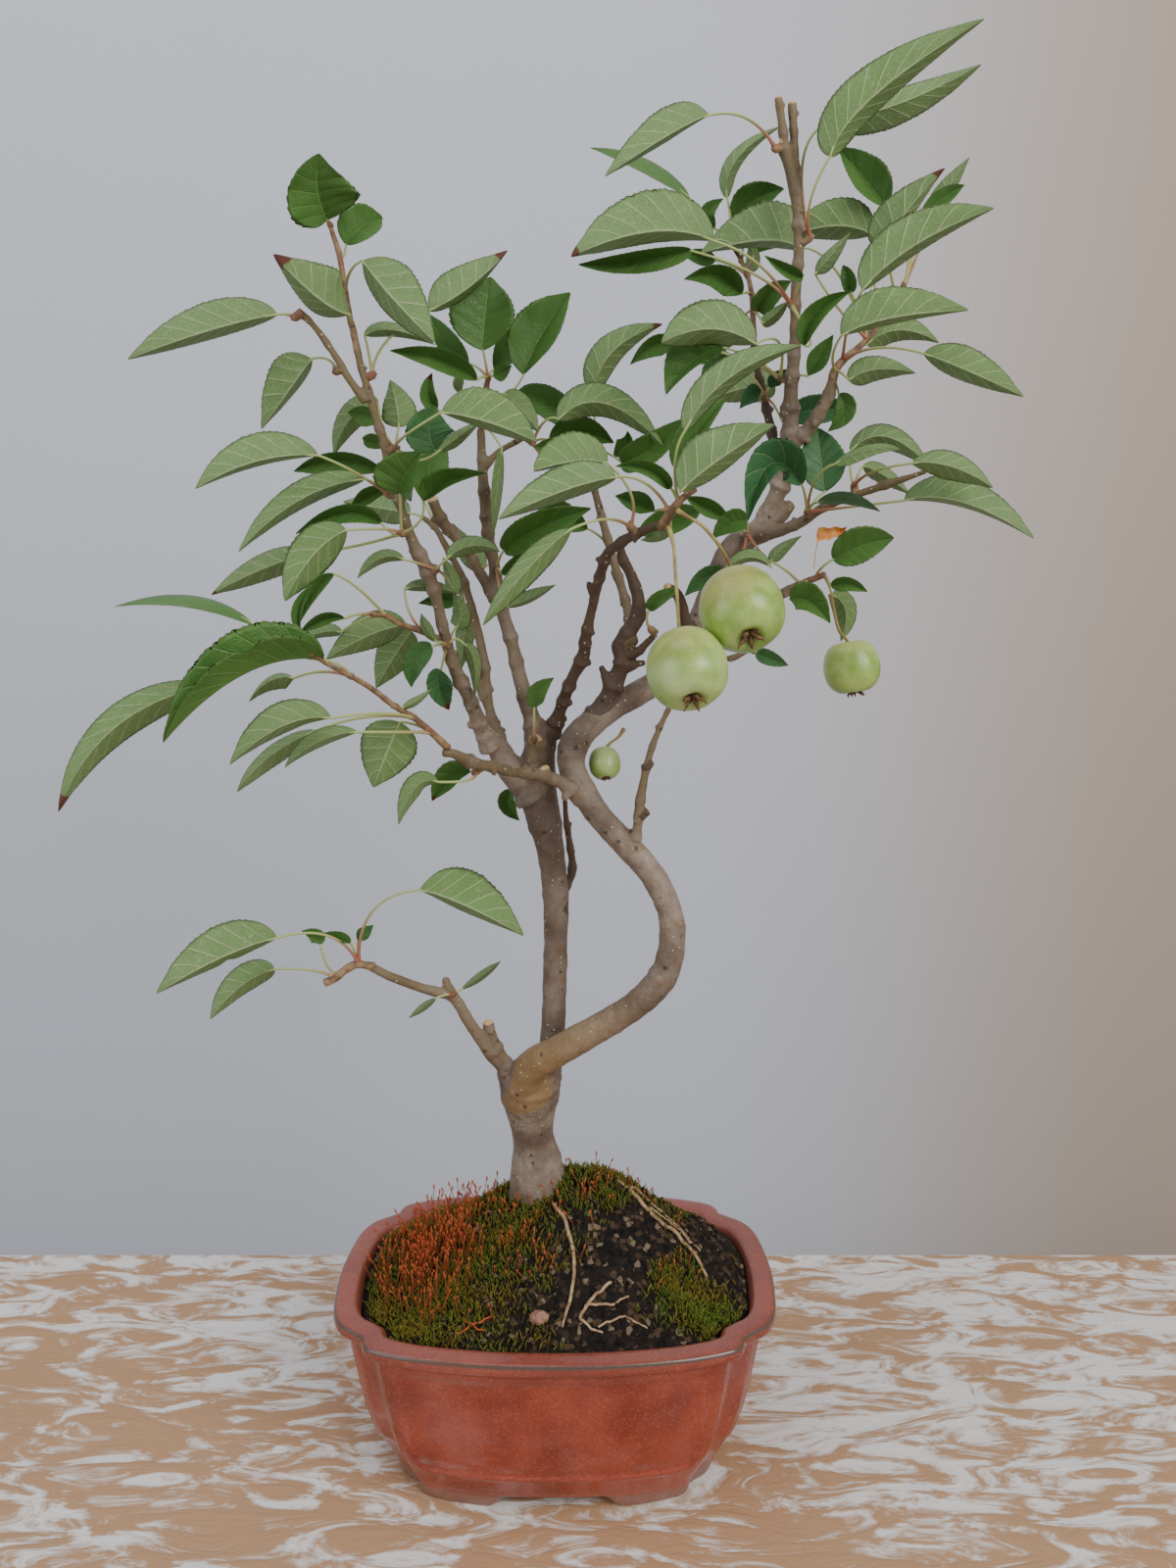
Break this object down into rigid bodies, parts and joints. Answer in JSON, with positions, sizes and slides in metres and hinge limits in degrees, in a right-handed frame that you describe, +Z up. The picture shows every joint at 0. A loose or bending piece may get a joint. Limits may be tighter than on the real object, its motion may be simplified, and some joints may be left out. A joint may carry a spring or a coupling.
{
  "type": "potted bonsai tree",
  "caption": "Small-fruited apple grown as a bonsai with a straight and a looping stem, standing in mossy soil in a lobed rectangular ceramic pot on bracket feet",
  "frame": {"origin": "middle of the underside of the bounding box, on the table the feet stand on", "axes": "+X to the right along the long side of the pot, +Y away to the back, +Z up"},
  "size_m": [0.3746, 0.2076, 0.6302],
  "materials": {
    "glaze": "glossy speckled brick-red ceramic glaze",
    "screen": "black plastic mesh",
    "soil": "dark moist granular soil",
    "moss": "dense short moss with red stems",
    "bark": "grey-brown bark with pale lenticels",
    "leaf": "satin leaf, deep green above, pale grey-green below with raised veins",
    "fruit": "waxy pale green skin with a slight blush",
    "stalk": "thin green-brown fruit stalk",
    "dry_root": "pale dry root",
    "stone": "pinkish-brown pebble"
  },
  "bodies": {
    "root": {"pot": "glaze", "drain_screen_left": "screen", "drain_screen_right": "screen", "soil": "soil", "moss_left": "moss", "moss_right": "moss", "tree_wood": "bark", "dry_root_long": "dry_root", "dry_root_right": "dry_root", "dry_root_front": "dry_root", "pebble": "stone", "apple_lower": "fruit", "apple_right": "fruit", "apple_small": "fruit", "apple_stalk_lower": "stalk", "apple_stalk_right": "stalk", "apple_stalk_small": "stalk", "apple_stalk_upper": "stalk", "apple_upper": "fruit", "leaves_centre_a": "leaf", "leaves_centre_back": "leaf", "leaves_centre_back_low": "leaf", "leaves_centre_spur": "leaf", "leaves_dark_limb": "leaf", "leaves_fork_leaf": "leaf", "leaves_front_left_low": "leaf", "leaves_front_left_shoot": "leaf", "leaves_fruit_twig_leaf": "leaf", "leaves_gnarly_leaf": "leaf", "leaves_left_back_end": "leaf", "leaves_left_low_a": "leaf", "leaves_left_low_b": "leaf", "leaves_left_low_back": "leaf", "leaves_left_mid_a": "leaf", "leaves_left_mid_b": "leaf", "leaves_left_mid_c": "leaf", "leaves_left_side_end": "leaf", "leaves_left_side_mid": "leaf", "leaves_left_top": "leaf", "leaves_left_twig": "leaf", "leaves_left_upper": "leaf", "leaves_low_left_end": "leaf", "leaves_low_left_mid": "leaf", "leaves_right_back_low": "leaf", "leaves_right_back_top": "leaf", "leaves_right_lower_spur": "leaf", "leaves_right_mid": "leaf", "leaves_right_spur": "leaf", "leaves_right_top": "leaf", "leaves_right_twig_base": "leaf", "leaves_right_twig_mid": "leaf", "leaves_right_upper_a": "leaf", "leaves_right_upper_b": "leaf", "leaves_trunk_leaf": "leaf", "leaves_upright_mid": "leaf", "leaves_upright_side": "leaf", "leaves_upright_top": "leaf"}
  },
  "joints": []
}
